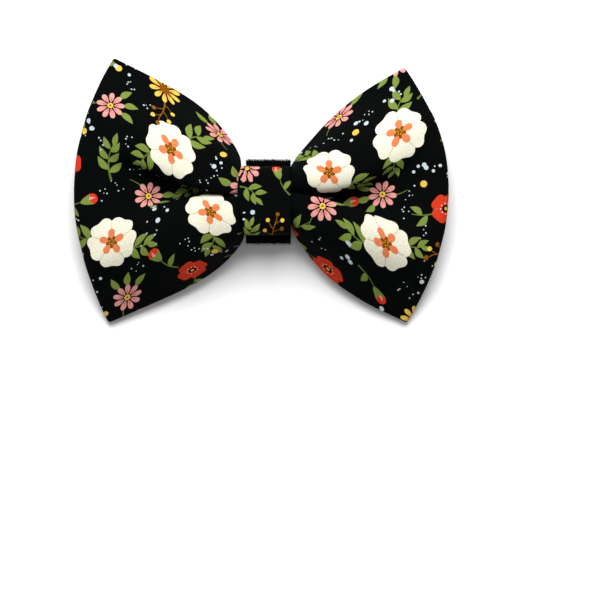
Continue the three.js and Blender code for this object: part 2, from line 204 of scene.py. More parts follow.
def rib(side, way, is_front):
    """A wing's rib at a share of the way from the knot to the outer fold, from foot to top."""
    half = BOW_HEIGHT / 2
    span = REACH[side] - FOLD_DEPTH / 2 - CLOTH_WALL / 2 - WING_START
    held_foot = FOOT_TUCK[side] - KNOT_HOLD
    at_knot = (0, -knot_taper(side, KNOT_HOLD) / span, (KNOT_HOLD - KNOT_DROP) / half,
               -knot_taper(side, held_foot) / span, (KNOT_DROP - held_foot) / half)
    outline = reader(OUTLINE_COLUMNS, [at_knot, *OUTLINES[side]])
    folds = reader(FOLD_COLUMNS, FOLDS[side])
    top, foot = outline("top_up", way) * half, -outline("foot_down", way) * half
    inset = 0 if is_front else BACK_INSET

    def place(share):
        return (top + foot) / 2 + (1 - inset) * share * (top - foot) / 2

    def level(name):
        rise = LAYERS + levels(name + "_rise", way) * ROOM if is_front else 0
        return FLOOR + levels("back_" + name, way) * (SEAT - FLOOR) + rise

    valley, ridge, edge = level("valley"), level("ridge"), level("edge")
    bottom = place(folds("bottom", way))
    mouth = place(folds("mouth" if is_front else "bottom", way))
    width, flank = folds("width", way) * half, folds("flank", way) * half
    keys = []
    for s in (-1, 1):
        brink, turn = mouth + s * width / 2, place(s) - s * flank
        keys += [
            (bottom + s * BOTTOM_SHARE * width / 2, valley),
            (brink, ridge - SHOULDER_DROP * (ridge - valley)),
            (brink + RIDGE_PLACE * (turn - brink), ridge),
            (turn, ridge - FLANK_DROP * (ridge - edge)),
            (place(s), edge),
        ][::s]
    middle = (keys[4][0] + keys[5][0]) / 2
    line = smooth_line(keys)
    far_top = (line[:, 0] - middle) / (keys[-1][0] - middle)
    far_foot = (line[:, 0] - middle) / (keys[0][0] - middle)
    is_upper = line[:, 0] > middle
    far = np.where(is_upper, far_top, far_foot)
    out = np.where(is_upper, outline("top_out", way), outline("foot_out", way)) * span
    x = side * (WING_START + way * span + (out - way * span) * far ** 2)
    return np.column_stack([x, line])


print("A rib half way along the right wing has", len(rib(1, 0.5, True)), "points")

# %% [markdown]
# ## Half of the bow as a grid
#
# The ribs of one half go from the knot's middle over the front, round the outer fold, and home along
# the back. The outer fold is a soft turn, not a crease, so each line leaves the front wall along its
# slope and enters the back wall along its slope, on a Bezier curve.

# %% Lay the ribs of one half side by side
FRONT_RIBS, BACK_RIBS, FOLD_RIBS, KNOT_RIBS = 62, 52, 14, 5


def round_the_fold(before, start, end, after):
    """Rows between the front and back walls' last ribs, each point on a curve of its own."""
    handle = 2 / 3 * np.linalg.norm(start - end, axis=1, keepdims=True)
    leave = start + (start - before) * handle / np.abs(start - before)[:, :1]
    enter = end + (end - after) * handle / np.abs(end - after)[:, :1]
    rows = []
    for k in range(1, FOLD_RIBS):
        s = k / FOLD_RIBS
        rows.append((1 - s) ** 3 * start + 3 * s * (1 - s) ** 2 * leave
                    + 3 * s ** 2 * (1 - s) * enter + s ** 3 * end)
    return rows


def half_bow(side):
    """The rows of half the bow's cloth, at the middle of its wall."""
    def ways(count):
        return (np.arange(count + 1) / count) ** 1.15

    front = [rib(side, way, True) for way in ways(FRONT_RIBS)]
    back = [rib(side, way, False) for way in ways(BACK_RIBS)[::-1]]
    middle_front = (rib(-1, 0, True) + rib(1, 0, True)) / 2
    middle_back = (rib(-1, 0, False) + rib(1, 0, False)) / 2
    shares = np.arange(KNOT_RIBS) / KNOT_RIBS
    rows = [
        *(middle_front + s * (front[0] - middle_front) for s in shares),
        *front,
        *round_the_fold(front[-2], front[-1], back[0], back[1]),
        *back,
        *(middle_back + s * (back[-1] - middle_back) for s in shares[::-1]),
    ]
    return np.array(rows)


# %% [markdown]
# ## A print needs a map of the flat cloth
#
# A print is made while the cloth is flat, so each point of the folded cloth has to know where it lay
# on the flat strip: how far along the strip from the knot, and how far across it. Lengths measured
# over the folded surface give both. The print then bends round the folds without stretching.

# %% Measure where each point lay on the flat strip
def flat_places(rows, side):
    """Along and across the flat strip, in millimetres, for each point of a half bow's rows."""
    outward = side * rows[:, :, 0]
    steps = np.linalg.norm(np.diff(rows, axis=0), axis=2)
    last_front = KNOT_RIBS + FRONT_RIBS
    first_back = last_front + FOLD_RIBS
    middle = rows.shape[1] // 2
    across_steps = np.linalg.norm(np.diff(rows[:, :, 1:], axis=1), axis=2)
    run = np.hstack([np.zeros((len(rows), 1)), np.cumsum(across_steps, axis=1)])
    across = rows[:, middle, 1][:, None] + run - run[:, middle][:, None]
    along = outward.copy()
    for r in range(last_front + 1, first_back + 1):
        along[r] = along[r - 1] + steps[r - 1]
    turned = along[first_back] + outward[first_back]
    for r in range(first_back + 1, len(rows)):
        along[r] = np.interp(across[r], across[first_back], turned) - outward[r]
    return along, across


halves = {side: half_bow(side) for side in (-1, 1)}
flats = {side: flat_places(halves[side], side) for side in (-1, 1)}
for side in (-1, 1):
    along, across = flats[side]
    print("Half", side, "of the strip:", round(along.max(), 1), "mm along, at most",
          round(np.ptp(across, axis=1).max(), 1), "mm across")

# %% [markdown]
# ## Motifs for the print
#
# The fabric's print has flowers, leaves, berries and dots on near-black. Each motif here is a few flat
# shapes, each an outline and an ink, as a textile designer cuts them for screen printing. A later
# shape lies over an earlier one. Outlines stay sharp at any distance, which a pixel picture doesn't.

# %% Outlines of petals, leaves, stems and discs, in millimetres
def disc(ink, x, y, radius, steps=12):
    angles = np.arange(steps) * 2 * math.pi / steps
    return ink, np.column_stack([x + radius * np.cos(angles), y + radius * np.sin(angles)])


def petal(ink, start, length, width, notch=0.0, steps=20):
    """A petal along X that is broad near its tip, with a notch there if asked for."""
    a = np.arange(steps) * 2 * math.pi / steps
    x = (1 - np.cos(a)) / 2
    y = np.sin(a) * x ** 0.45 * width * 0.56
    x = x * length - notch * np.exp(-(y / (0.22 * width)) ** 2) * (x > 0.6)
    return ink, np.column_stack([start + x, y])


def leaf(ink, start, length, width, bend=0.0, steps=8):
    """A pointed leaf along X, bent to one side."""
    s = np.linspace(0, 1, steps + 1)
    y = np.sin(math.pi * s ** 0.85) * width / 2
    middle = bend * np.sin(math.pi * s)
    upper = np.column_stack([start + s * length, middle + y])
    lower = np.column_stack([start + s * length, middle - y])
    return ink, np.vstack([lower, upper[-2:0:-1]])


def stem(ink, points, width, steps=12):
    """A tapering line along a quadratic curve through three points."""
    p0, p1, p2 = (np.array(p, float) for p in points)
    s = np.linspace(0, 1, steps + 1)[:, None]
    line = (1 - s) ** 2 * p0 + 2 * s * (1 - s) * p1 + s ** 2 * p2
    ahead = np.gradient(line, axis=0)
    normal = np.column_stack([-ahead[:, 1], ahead[:, 0]]) / np.linalg.norm(ahead, axis=1)[:, None]
    half = width / 2 * (1 - 0.6 * s)
    return ink, np.vstack([line - normal * half, (line + normal * half)[::-1]])


def moved(shapes, x=0.0, y=0.0, degrees=0.0, scale=1.0):
    """Shapes turned, scaled and put in their place."""
    c, s = math.cos(math.radians(degrees)), math.sin(math.radians(degrees))
    turn = np.array([[c, s], [-s, c]]) * scale
    return [(ink, outline @ turn + (x, y)) for ink, outline in shapes]


def ring(shape, count, first=0.0):
    """A shape repeated round a middle."""
    return [moved([shape], degrees=first + 360 * k / count)[0] for k in range(count)]


# %% Flowers
def blossom():
    """A broad five-petalled flower in cream, with a coral star."""
    shapes = ring(petal("cream", 0.3, 9.4, 10.2, notch=1.2, steps=34), 5)
    shapes += ring(leaf("cream_shade", 3.2, 4.8, 0.42), 5, 36)
    shapes += ring(petal("coral", 0.3, 4.4, 2.9, steps=16), 5, 36)
    shapes += ring(petal("rust", 0.0, 2.3, 1.3, steps=10), 5)
    return shapes + [disc("rust", 0, 0, 1.3, 14)] + ring(disc("yellow", 0.75, 0, 0.2, 6), 5, 18)


def rosette():
    """A pink daisy with nine slim petals."""
    shapes = ring(petal("pink", 1.3, 4.1, 2.3, steps=16), 9)
    shapes += ring(leaf("rose", 1.7, 1.8, 0.42, steps=6), 9)
    return shapes + [disc("yellow", 0, 0, 1.15), disc("rust", 0, 0, 0.45, 8)]


def poppy():
    """A red flower with four round petals and a dark eye."""
    shapes = ring(petal("red", 0.2, 5.6, 7.0, notch=0.4, steps=24), 4, 45)
    shapes += ring(leaf("rose", 2.4, 2.7, 0.42, steps=6), 4)
    shapes += [disc("ground", 0, 0, 1.5, 14), disc("yellow", 0, 0, 0.7, 10)]
    return shapes + ring(disc("cream", 2.0, 0, 0.24, 6), 9)


def aster():
    """A yellow flower with ten petals."""
    shapes = ring(petal("yellow", 1.6, 4.4, 2.1, steps=14), 10)
    shapes += ring(leaf("coral", 1.9, 2.0, 0.5, steps=6), 10)
    return shapes + [disc("rust", 0, 0, 1.9, 16)] + ring(disc("twig", 1.0, 0, 0.2, 6), 7)


# %% Leaves, buds, berries and dots
def sprig(pairs=3, size=1.0, bend=3.0):
    """A bent stem with pointed leaves on both sides and one at its tip."""
    length = 4.2 * pairs + 1
    shapes = [stem("leaf_dark", [(0, 0), (length / 2, bend), (length, 0)], 0.8)]
    for k in range(pairs):
        s = (k + 0.8) / (pairs + 0.4)
        x, y = s * length, 2 * s * (1 - s) * bend
        grown = 6.6 - 0.7 * k
        for turn in (-1, 1):
            blade = [leaf("leaf", 0.1, grown, 2.7 - 0.2 * k, turn * 0.5)]
            shapes += moved(blade, x + turn * 0.5, y, degrees=turn * (44 - 4 * k))
    shapes += moved([leaf("leaf", 0, 5.0, 2.1)], length - 0.4, 0, degrees=-12)
    return moved(shapes, scale=size)


def bud():
    """A closed red bud on a stem, held by two green leaves."""
    shapes = [stem("leaf_dark", [(-8.5, -1.6), (-4, 0.8), (0, 0)], 0.7)]
    shapes += [petal("red", -0.2, 6.2, 4.6), leaf("pink", 1.6, 3.6, 1.1, 0.4)]
    for turn in (-1, 1):
        blade = [leaf("leaf", -0.7, 4.8, 2.0, -turn * 0.6)]
        shapes += moved(blade, 0, turn * 0.4, degrees=turn * 24)
    return shapes + moved([leaf("leaf", 0, 5.4, 2.2, 0.5)], -5.6, 0, degrees=-58)


def berries():
    """A brown twig that forks into round berries."""
    shapes = [stem("twig", [(0, 0), (5, 2.2), (11.5, 0.8)], 0.8)]
    for x, y, degrees, length, ink in (
        (2.6, 1.0, 62, 4.2, "yellow"), (4.7, 1.35, -52, 4.4, "twig"), (6.8, 1.5, 50, 4.0, "yellow"),
        (8.7, 1.2, -48, 3.5, "yellow"), (11.3, 0.8, 8, 1.8, "twig"),
    ):
        branch = [stem("twig", [(0, 0), (length / 2, 0.6), (length, 0)], 0.5, 6),
                  disc(ink, length + 0.6, 0, 1.0)]
        shapes += moved(branch, x, y, degrees)
    return shapes


def dots(rng, count=6, spread=4.6):
    """A loose group of small dots."""
    shapes = []
    for k in range(count):
        angle, far = rng.uniform(0, 2 * math.pi), spread * math.sqrt(rng.random())
        ink = "yellow" if k == 0 and rng.random() < 0.4 else "sky"
        radius = rng.choice((0.28, 0.4, 0.6, 0.85)) if ink == "sky" else 1.25
        shapes.append(disc(ink, far * math.cos(angle), far * math.sin(angle), radius, 10))
    return shapes


def specks(rng):
    """A few tiny dots, which fill the gaps of the print."""
    return [disc("sky", rng.gauss(0, 1.5), rng.gauss(0, 1.5), rng.uniform(0.18, 0.34), 8)
            for _ in range(5)]


# %% Groups of motifs, as they stand on the cloth
def blossom_group(rng):
    shapes = moved(sprig(2, 0.95, 3), 5.5, 1, rng.uniform(-25, 25))
    shapes += moved(sprig(2, 0.85, -2), -5.5, -1, 180 + rng.uniform(-30, 30))
    return shapes + moved(blossom(), degrees=rng.uniform(0, 72), scale=rng.uniform(0.94, 1.04))


def rosette_group(rng):
    shapes = []
    for turn in (-38, 0, 38):
        shapes += moved([leaf("leaf", 4.8, 5.8, 2.6, 0.4)], degrees=turn)
    shapes += moved([stem("leaf_dark", [(0, 0), (-5, 2.4), (-9.5, 0.6)], 0.6)])
    return shapes + rosette()


def poppy_group(rng):
    shapes = [stem("leaf_dark", [(0, 0), (6, 3), (13, 1.2)], 0.75)]
    shapes += moved([leaf("leaf", 0, 6.2, 2.5, 0.6)], 7.0, 2.0, 40)
    shapes += moved([leaf("leaf", 0, 5.6, 2.4, -0.6)], 9.0, 1.9, -38)
    return shapes + poppy()


def aster_group(rng):
    return moved(berries(), 5.0, 0, rng.uniform(-20, 20), 0.85) + aster()


GROUPS = (  # what, how many, the room that one takes in millimetres, and its scale
    (blossom_group, 8, 12.6, 1.0),
    (poppy_group, 12, 8.6, 0.95),
    (aster_group, 5, 9.0, 0.95),
    (rosette_group, 16, 8.2, 0.95),
    (lambda rng: moved(sprig(3, 0.95), -7), 16, 7.0, 1.0),
    (lambda rng: bud(), 20, 5.6, 0.95),
    (lambda rng: moved(berries(), -6), 12, 5.8, 0.9),
    (lambda rng: dots(rng), 70, 3.6, 1.0),
    (lambda rng: specks(rng), 90, 2.2, 1.0),
)


# %% Place the large flowers on the front, and scatter the rest over the flat strip
FRONT_BLOSSOMS = (  # along, across and degrees
    (-33, 22, 20), (-54, -19, 150), (-19, -15, 260), (48, 21, 80), (23, 13, 310), (43, -22, 200),
)
FRONT_ROOM, BACK_STARTS, TRIES = 12.0, 78, 220


def scattered(seed, half_length, half_width):
    """Shapes for a strip, with the largest groups laid first and the small ones in the gaps."""
    rng = random.Random(seed)
    placed, shapes = [], []
    for x, y, degrees in FRONT_BLOSSOMS:
        placed.append((x, y, FRONT_ROOM))
        shapes += moved(blossom_group(rng), x, y, degrees)
    for make, count, room, scale in GROUPS:
        for _ in range(count):
            for _ in range(TRIES):
                x, y = rng.uniform(-half_length, half_length), rng.uniform(-half_width, half_width)
                if make is blossom_group and abs(x) < BACK_STARTS:
                    continue
                if all((x - a) ** 2 + (y - b) ** 2 > (room + r) ** 2 for a, b, r in placed):
                    placed.append((x, y, room))
                    shapes += moved(make(rng), x, y, rng.uniform(0, 360), scale)
                    break
    print(len(placed), "groups laid,", len(shapes), "shapes")
    return shapes


bow_print = scattered(seed=2, half_length=141, half_width=51)

# %% [markdown]
# ## Printed cotton as a material
#
# Quilting cotton is a plain weave: threads that pass over and under each other, about three to a
# millimetre. Two sine waves, multiplied, give that chequer of high and low threads. It drives a small
# bump, and painted shade that makes the low threads a little darker than the high ones. The ink lies
# in the threads, so each ink gets the same weave.
# Values that are the same all over are set on the shader itself.

# %% Inks
INKS = {
    "ground": "040505", "cream": "dad6c2", "cream_shade": "bdb294", "coral": "d0764a",
    "rust": "774506", "pink": "cc8c84", "rose": "b0544e", "red": "c2351d", "yellow": "cfae46",
    "leaf": "6e8039", "leaf_dark": "56692b", "twig": "7a4b12", "sky": "b2bfc4",
}


def linear(text):
    """A hex colour as the linear values that the shader takes."""
    values = [int(text[i:i + 2], 16) / 255 for i in (0, 2, 4)]
    return [v / 12.92 if v <= 0.04045 else ((v + 0.055) / 1.055) ** 2.4 for v in values] + [1]


# %% A small helper for node trees
def new_material(name):
    """An empty material, its node tree's add and link functions, and its shader."""
    material = bpy.data.materials.new(name)
    material.use_nodes = True
    nodes, links = material.node_tree.nodes, material.node_tree.links
    shader = nodes["Principled BSDF"]

    def add(kind, inputs=(), **settings):
        node = nodes.new(kind)
        for key, value in settings.items():
            setattr(node, key, value)
        for socket, value in dict(inputs).items():
            if isinstance(value, bpy.types.NodeSocket):
                links.new(value, node.inputs[socket])
            else:
                node.inputs[socket].default_value = value
        return node

    return material, add, links, shader


# %% The cotton's material for one ink
THREAD, THREAD_HEIGHT = 0.36, 0.00003  # the weave's pitch in millimetres, its height in metres
# painted shade between the threads and a random tone both move an ink within its range
INK_RANGE = (0.7, 1.22)  # an ink between the threads and on them, as shares of its colour
GROUND_RANGE = (0.2, 2.2)  # the same for the near-black ground, where pale lint shows most


def cotton(name, colour, low, high):
    """Plain-weave cotton in one ink."""
    material, add, links, shader = new_material(name)
    place = add("ShaderNodeUVMap", uv_map="cloth")
    parts = add("ShaderNodeSeparateXYZ", {0: place.outputs[0]})

    def maths(operation, *inputs):
        return add("ShaderNodeMath", enumerate(inputs), operation=operation).outputs[0]

    def clouds(scale, detail):
        inputs = {"Vector": place.outputs[0], "Scale": scale, "Detail": detail}
        return add("ShaderNodeTexNoise", inputs).outputs[0]

    waves = [maths("SINE", maths("MULTIPLY", parts.outputs[k], 2 * math.pi / THREAD)) for k in (0, 1)]
    weave = maths("MULTIPLY", *waves)
    fibres, wear = clouds(1.7, 4.0), clouds(0.11, 2.0)
    height = maths("ADD", weave, fibres)
    bump = add("ShaderNodeBump", {"Height": height, "Distance": THREAD_HEIGHT, "Strength": 0.7})
    # painted shade: the weave's low threads darker and its high threads lighter; the noises below add a
    # random tone
    shade = maths("MULTIPLY_ADD", weave, 0.16, -0.3)
    shade = maths("MULTIPLY_ADD", fibres, 1.4, shade)
    shade = maths("MULTIPLY_ADD", wear, 0.25, shade)
    ink = linear(colour)
    mix = add("ShaderNodeMix", data_type="RGBA", clamp_factor=True)
    links.new(shade, mix.inputs[0])
    mix.inputs[6].default_value = [low * v for v in ink[:3]] + [1]
    mix.inputs[7].default_value = [min(1, high * v) for v in ink[:3]] + [1]
    links.new(mix.outputs[2], shader.inputs["Base Color"])
    links.new(bump.outputs[0], shader.inputs["Normal"])
    shader.inputs["Roughness"].default_value = 0.86
    shader.inputs["Specular IOR Level"].default_value = 0.02
    return material


cottons = {
    ink: cotton("cotton_" + ink, colour, *(GROUND_RANGE if ink == "ground" else INK_RANGE))
    for ink, colour in INKS.items()
}
print(len(cottons), "cotton materials")

# %% [markdown]
# ## From print and grid to one closed wall of cloth
#
# The outlines and the grid's points go into a flat triangulation that keeps every outline as an edge,
# so each triangle lies wholly in one ink. Then each corner is lifted from the flat strip to its place
# on the folded cloth. The triangles are laid twice, half a wall out and half a wall in, and a rounded
# hem joins them. The surface's own normals, from the grid, keep the shading even.

# %% Triangulate a printed strip
def is_ccw(outline):
    x, y = outline[:, 0], outline[:, 1]
    return np.sum(x * np.roll(y, -1) - y * np.roll(x, -1)) > 0


def printed_triangles(along, across, shapes):
    """Flat corners, triangles and each triangle's ink, for a grid of flat places and a print."""
    rows, columns = along.shape
    index = np.arange(rows * columns).reshape(rows, columns)
    border = [*index[:, 0], *index[-1, 1:], *index[-2::-1, -1], *index[0, -2:0:-1]]
    flat = np.column_stack([along.ravel(), across.ravel()])
    if not is_ccw(flat[border]):
        border = border[::-1]
    low, high = flat.min(0), flat.max(0)
    corners, faces, inks = [*map(Vector, flat)], [[int(i) for i in border]], ["ground"]
    for ink, outline in shapes:
        if (outline.max(0) < low).any() or (outline.min(0) > high).any():
            continue
        outline = outline if is_ccw(outline) else outline[::-1]
        faces.append(list(range(len(corners), len(corners) + len(outline))))
        corners += map(Vector, outline)
        inks.append(ink)
    places, _, triangles, origins, _, owners = delaunay_2d_cdt(corners, [], faces, 0, 1e-5)
    kept = [k for k, own in enumerate(owners) if 0 in own and len(triangles[k]) == 3]
    names = [inks[max(owners[k])] for k in kept]
    grid_of = [next((i for i in own if i < len(flat)), -1) for own in origins]
    return np.array([tuple(p) for p in places]), [triangles[k] for k in kept], names, grid_of


# %% Lift the flat corners onto the folded cloth
def lifted(places, grid_of, along, across, values):
    """The grid's values at the flat corners: exact at its own points, and blended in between."""
    rows, columns = along.shape
    flat = np.column_stack([along.ravel(), across.ravel(), np.zeros(rows * columns)])
    index = np.arange(rows * columns).reshape(rows, columns)
    a, b = index[:-1, :-1].ravel(), index[1:, :-1].ravel()
    c, d = index[1:, 1:].ravel(), index[:-1, 1:].ravel()
    cells = np.vstack([np.column_stack([a, b, c]), np.column_stack([a, c, d])])
    tree = BVHTree.FromPolygons(flat.tolist(), cells.tolist())
    values = values.reshape(rows * columns, -1)
    result = np.empty((len(places), values.shape[1]))
    for k, (x, y) in enumerate(places):
        if grid_of[k] >= 0:
            result[k] = values[grid_of[k]]
            continue
        spot, _, cell, _ = tree.find_nearest((x, y, 0))
        i, j, l = cells[cell]
        (x1, y1), (x2, y2), (x3, y3) = flat[i, :2], flat[j, :2], flat[l, :2]
        area = (y2 - y3) * (x1 - x3) + (x3 - x2) * (y1 - y3)
        p = ((y2 - y3) * (spot.x - x3) + (x3 - x2) * (spot.y - y3)) / area
        q = ((y3 - y1) * (spot.x - x3) + (x1 - x3) * (spot.y - y3)) / area
        result[k] = p * values[i] + q * values[j] + (1 - p - q) * values[l]
    return result


# %% Build the wall
HEM_STEPS = 4
BOW_HEM, BAND_HEM = 0.3, 0.35  # how far a hem is rounded out past the cloth's edge


def unit(vectors):
    return vectors / np.maximum(np.linalg.norm(vectors, axis=-1, keepdims=True), 1e-12)


def grid_normals(rows, side):
    return unit(np.cross(np.gradient(rows, axis=0), np.gradient(rows, axis=1)) * side)


def printed_wall(name, rows, side, along, across, shapes, thickness, bulge):
    """A closed wall of printed cloth round a grid's rows, with rounded hems."""
    places, triangles, inks, grid_of = printed_triangles(side * along, across, shapes)
    normals = grid_normals(rows, side)
    walls = np.broadcast_to(np.asarray(thickness, float), along.shape)
    values = np.concatenate([rows, normals, walls[:, :, None]], axis=2)
    values = lifted(places, grid_of, side * along, across, values)
    middle, normal, wall = values[:, :3], unit(values[:, 3:6]), values[:, 6:]
    count = len(places)
    ink_at = {}
    for tri, ink in zip(triangles, inks):
        for k in range(3):
            ink_at[(tri[k], tri[(k + 1) % 3])] = ink
    open_edges = [(a, b) for a, b in ink_at if (b, a) not in ink_at]
    after, before = dict(open_edges), {b: a for a, b in open_edges}
    border = list(after)
    points = [middle + normal * wall / 2, middle - normal * wall / 2]
    turned = [normal, -normal]
    outward = {}
    for v in border:
        ahead = middle[after[v]] - middle[before[v]]
        outward[v] = unit(np.cross(ahead, normal[v]))
    first_hem = 2 * count
    for step in range(1, HEM_STEPS):
        angle = math.pi * step / HEM_STEPS
        c, s = math.cos(angle), math.sin(angle)
        around = [c * normal[v] + s * outward[v] for v in border]
        points.append(np.array([
            middle[v] + c * normal[v] * wall[v] / 2 + s * outward[v] * bulge for v in border]))
        turned.append(np.array(around))
    order = {v: k for k, v in enumerate(border)}

    def hem_point(v, step):
        if step in (0, HEM_STEPS):
            return v + (count if step else 0)
        return first_hem + (step - 1) * len(border) + order[v]

    faces = [tuple(tri) for tri in triangles]
    faces += [tuple(count + i for i in tri[::-1]) for tri in triangles]
    used = inks + inks
    for a, b in open_edges:
        for step in range(HEM_STEPS):
            faces.append((hem_point(a, step), hem_point(a, step + 1),
                          hem_point(b, step + 1), hem_point(b, step)))
            used.append(ink_at[(a, b)])
    flat = np.vstack([places, places] + [places[border]] * (HEM_STEPS - 1))
    return build_piece(name, np.vstack(points), faces, np.vstack(turned), used, flat)


def build_piece(name, points, faces, normals, inks, flat):
    """A mesh object with cotton materials, a map of the flat cloth, and given normals."""
    mesh = bpy.data.meshes.new(name)
    mesh.from_pydata(in_frame(points).tolist(), [], faces)
    names = sorted(set(inks))
    for ink in names:
        mesh.materials.append(cottons[ink])
    slots = {ink: k for k, ink in enumerate(names)}
    mesh.polygons.foreach_set("material_index", [slots[ink] for ink in inks])
    corner = np.empty(len(mesh.loops), dtype=np.int32)
    mesh.loops.foreach_get("vertex_index", corner)
    layer = mesh.uv_layers.new(name="cloth")
    layer.data.foreach_set("uv", flat[corner].astype(np.float32).ravel())
    mesh.polygons.foreach_set("use_smooth", [True] * len(mesh.polygons))
    mesh.normals_split_custom_set_from_vertices(unit(normals).tolist())
    mesh.update()
    piece = bpy.data.objects.new(name, mesh)
    bpy.context.scene.collection.objects.link(piece)
    sides = sum(len(f) - 2 for f in faces)
    print(name, "has", sides, "triangles")
    return piece


# %% [markdown]
# ## The bow's cloth
#
# Stiffened cotton isn't perfectly flat: it waves a little between its folds. A slow noise moves the
# wall by a fraction of a millimetre, and not at all in the knot, where the band holds it.

# %% Build both halves of the bow
RIPPLE_STARTS, RIPPLE_GROWS = 12, 16  # where the ripple starts beside the knot, and over how far it grows


def rippled(rows, side, amount=0.22, wave=17):
    """The rows, moved a little along their normals."""
    normals = grid_normals(rows, side)
    far = np.clip((np.abs(rows[:, :, 0]) - RIPPLE_STARTS) / RIPPLE_GROWS, 0, 1)
    moves = np.array([[noise.noise(Vector(p) / wave) for p in row] for row in rows])
    return rows + normals * (moves * far * amount)[:, :, None]


for side, name in ((-1, "bow_cloth_left"), (1, "bow_cloth_right")):
    along, across = flats[side]
    rows = rippled(halves[side], side)
    half = printed_wall(name, rows, side, along, across, bow_print, CLOTH_WALL, BOW_HEM)
    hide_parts("bow_cloth")
    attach(half, "root")

# %% [markdown]
# ## The knot band
#
# The band is a strip of the same cotton, folded lengthwise into a flat sleeve and wrapped round the
# pinched cloth. It is drawn as a line round the pinch, swept across the band's width. Its front is a
# little crowned. Small pleats run in from its corners, where the cloth is bunched by the stitches.

# %% The line round the pinch
def knot_line(spacing=0.7):
    """Points in Y and Z round the band's wall at its middle, from the back's middle and home."""
    inset = KNOT_WALL / 2
    half = KNOT_HEIGHT / 2 - inset
    low, high = KNOT_BOTTOM + inset, CAVITY_BOTTOM + PINCH_DEPTH + KNOT_WALL - inset
    back, front = KNOT_BACK_ROUND - inset, KNOT_ROUND - inset
    arcs = ((half - back, low + back, back, -90), (half - front, high - front, front, 0),
            (front - half, high - front, front, 90), (back - half, low + back, back, 180))
    line = [np.array([0.0, low])]
    for y, z, radius, start in arcs:
        for k in range(9):
            angle = math.radians(start + 90 * k / 8)
            line.append(np.array([y + radius * math.cos(angle), z + radius * math.sin(angle)]))
    line.append(np.array([0.0, low]))
    line = np.array(line)
    run = np.concatenate([[0], np.cumsum(np.linalg.norm(np.diff(line, axis=0), axis=1))])
    even = np.linspace(0.05, run[-1] - 0.05, int(run[-1] / spacing))
    return np.column_stack([np.interp(even, run, line[:, k]) for k in (0, 1)]), even


line, run = knot_line()
print("The band is", round(run[-1], 1), "mm round")

# %% Sweep it across, with its crown and pleats
CROWN, PLEAT_PITCH = 0.45, 1.7
KNOT_PLEATS = (  # where the pleats are, how far they reach, their height and their slope
    (-7.0, 9.0, 5.0, 0.9, 0.45),
    (6.0, 10.2, 3.6, 0.35, -0.4),
    (-5.5, -9.5, 4.0, 0.35, -0.7),
)


def knot_rows(columns=41):
    shares = np.linspace(-1, 1, columns)
    ahead = unit(np.gradient(line, axis=0))
    rows = []
    for (y, z), (ay, az) in zip(line, ahead):
        left, right = (KNOT_WIDTH / 2 - knot_taper(side, y) for side in (-1, 1))
        x = shares * np.where(shares < 0, left, right)
        front = np.clip((z - SEAT) / (CREST - SEAT), 0, 1) ** 2
        out = CROWN * front * (1 - (2 * y / KNOT_HEIGHT) ** 2) * (1 - 0.7 * shares ** 2)
        for corner_x, corner_y, reach, height, slope in KNOT_PLEATS:
            near = np.exp(-((x - corner_x) / reach) ** 2 - ((y - corner_y) / (0.6 * reach)) ** 2)
            wave = np.sin(2 * math.pi * (y - slope * x) / PLEAT_PITCH)
            out += height * front * near * (1 + wave) / 2
        rows.append(np.column_stack([x, y + az * out, z - ay * out]))
    return np.array(rows)


band_rows = knot_rows()
band_along = np.repeat(run[:, None], band_rows.shape[1], axis=1)
band_across = band_rows[:, :, 0]
band_print = (
    moved(rosette(), 21.5, -6.0, 20, 0.85) + moved(sprig(2, 0.75), 27.5, -8.5, 55)
    + moved(bud(), 24.5, 5.5, 200, 0.8) + moved(dots(random.Random(5), 4, 2.2), 38, -5.5)
    + moved(berries(), 47, 3.0, 165, 0.72) + moved(sprig(2, 0.7, -2), 47.5, -6.0, 170)
    + moved(poppy_group(random.Random(6)), 8, 2, 40)
)
band_rows[:, :, 1] -= KNOT_DROP
knot = printed_wall("knot_band_cotton", band_rows, 1, band_along, band_across, band_print,
                    KNOT_WALL, BAND_HEM)
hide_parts("knot_band")
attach(knot, "root")

# %% [markdown]
# ## The strap
#
# The strap is brushed-loop tape: a thin woven base, and on its outer side a dense pile of fine loops
# that the hooks grip. The base is swept along the strap's line. The pile is real geometry, thousands
# of short bent fibres, because its fuzzy edge is what shows above the knot.

# %% The strap's line
TAPE = 1.0


def strap_line(spacing=0.5):
    """Points in Y and Z along the strap, with the normal to its outer side, and lengths."""
    half = STRAP_PLY / 2
    inner, front = INNER_PLY_BOTTOM + half, FRONT_RUN_BOTTOM + half
    upper_turn, lower_turn = (front - inner) / 2, (front - half) / 2
    upper = STRAP_HEIGHT / 2 - half - upper_turn
    lower = -STRAP_HEIGHT / 2 + half + lower_turn
    points = [(-LAP_LENGTH / 2, inner)]
    for middle, level, radius, start in (
        (upper, (inner + front) / 2, upper_turn, -90), (lower, (half + front) / 2, lower_turn, 90)):
        for k in range(17):
            angle = math.radians(start + 180 * k / 16)
            points.append((middle + radius * math.cos(angle), level + radius * math.sin(angle)))
    points.append((LAP_LENGTH / 2, half))
    points = np.array(points)
    run = np.concatenate([[0], np.cumsum(np.linalg.norm(np.diff(points, axis=0), axis=1))])
    even = np.linspace(0, run[-1], int(run[-1] / spacing))
    placed = np.column_stack([np.interp(even, run, points[:, k]) for k in (0, 1)])
    ahead = unit(np.gradient(placed, axis=0))
    return placed, np.column_stack([ahead[:, 1], -ahead[:, 0]]), even


strap_points, strap_out, strap_run = strap_line()
print("The strap is", round(strap_run[-1], 1), "mm long")

